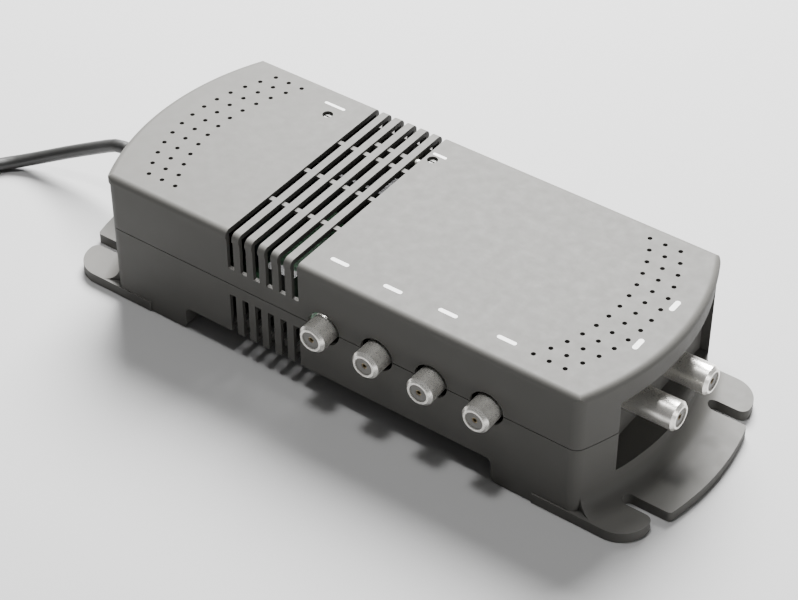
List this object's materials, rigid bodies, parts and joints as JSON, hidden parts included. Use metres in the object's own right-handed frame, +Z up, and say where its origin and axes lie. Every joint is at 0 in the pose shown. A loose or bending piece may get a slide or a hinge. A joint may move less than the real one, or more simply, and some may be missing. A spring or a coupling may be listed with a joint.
{
  "type": "mains powered aerial signal booster",
  "caption": "Vented grey plastic signal booster with open-slotted mounting ears, coaxial sockets on one side and in an end recess, and a coiled mains lead.",
  "frame": {"origin": "centre of the case in plan, on the plane that the feet stand on, which is the middle of the four screw slots", "axes": "+X towards the end with the input sockets, -Y towards the side with the output sockets, +Z up from the mounting surface"},
  "size_m": [0.4943, 0.1661, 0.0668],
  "materials": {
    "case_plastic": "satin",
    "board_green": "solder resist",
    "board_brown": "satin",
    "tinned_steel": "satin",
    "nickel_plate": "polished",
    "pale_insulator": "satin",
    "brass": "satin",
    "trimmer_blue": "gloss",
    "spindle_plastic": "satin",
    "led_lens": "gloss",
    "black_plastic": "satin",
    "core_steel": "matte",
    "white_plastic": "satin",
    "copper": "lacquered",
    "capacitor_sleeve": "gloss",
    "heatsink_metal": "matte",
    "fuse_glass": "clear",
    "wire_insulation": "satin",
    "cord_rubber": "satin",
    "screw_steel": "zinc plated"
  },
  "bodies": {
    "amplifier": {"upper_case": "case_plastic", "lower_case": "case_plastic", "main_board": "board_green", "mains_board": "board_brown", "rf_shield": "tinned_steel", "rf_shield_lid": "tinned_steel", "output_socket_1": "nickel_plate", "output_socket_2": "nickel_plate", "output_socket_3": "nickel_plate", "output_socket_4": "nickel_plate", "output_insulator_1": "pale_insulator", "output_insulator_2": "pale_insulator", "output_insulator_3": "pale_insulator", "output_insulator_4": "pale_insulator", "output_contact_1": "brass", "output_contact_2": "brass", "output_contact_3": "brass", "output_contact_4": "brass", "input_socket_1": "nickel_plate", "input_socket_2": "nickel_plate", "input_insulator_1": "pale_insulator", "input_insulator_2": "pale_insulator", "input_contact_1": "brass", "input_contact_2": "brass", "trimmer_body_1": "trimmer_blue", "trimmer_body_2": "trimmer_blue", "power_led": "led_lens", "led_spacer": "black_plastic", "transformer_core": "core_steel", "transformer_bobbin": "white_plastic", "primary_winding": "copper", "secondary_winding": "copper", "transformer_frame": "tinned_steel", "transformer_screws": "screw_steel", "smoothing_capacitor_1": "capacitor_sleeve", "smoothing_capacitor_2": "capacitor_sleeve", "bridge_rectifier": "black_plastic", "voltage_regulator": "black_plastic", "heatsink": "heatsink_metal", "splitter_cores": "core_steel", "rf_transistors": "black_plastic", "fuse": "fuse_glass", "fuse_clips": "brass", "terminal_block": "white_plastic", "mains_wires": "wire_insulation", "secondary_wires": "wire_insulation", "cord_boot": "cord_rubber", "cord_clamp": "white_plastic", "clamp_screws": "screw_steel", "case_screws": "screw_steel", "board_screws": "screw_steel", "mains_cord": "cord_rubber", "cord_coil": "cord_rubber", "cord_tail": "cord_rubber", "coil_tie": "black_plastic", "plug_body": "cord_rubber", "plug_pins": "nickel_plate"},
    "gain_spindle_1": {"trimmer_spindle_1": "spindle_plastic"},
    "gain_spindle_2": {"trimmer_spindle_2": "spindle_plastic"}
  },
  "joints": [
    {"name": "gain_adjust_1", "type": "hinge", "parent": "amplifier", "child": "gain_spindle_1", "pos_m": [-0.0693, 0.0365, 0.0321], "axis": [0, 0, 1], "range_deg": [-135, 135]},
    {"name": "gain_adjust_2", "type": "hinge", "parent": "amplifier", "child": "gain_spindle_2", "pos_m": [-0.0128, 0.0365, 0.0321], "axis": [0, 0, 1], "range_deg": [-135, 135]}
  ]
}
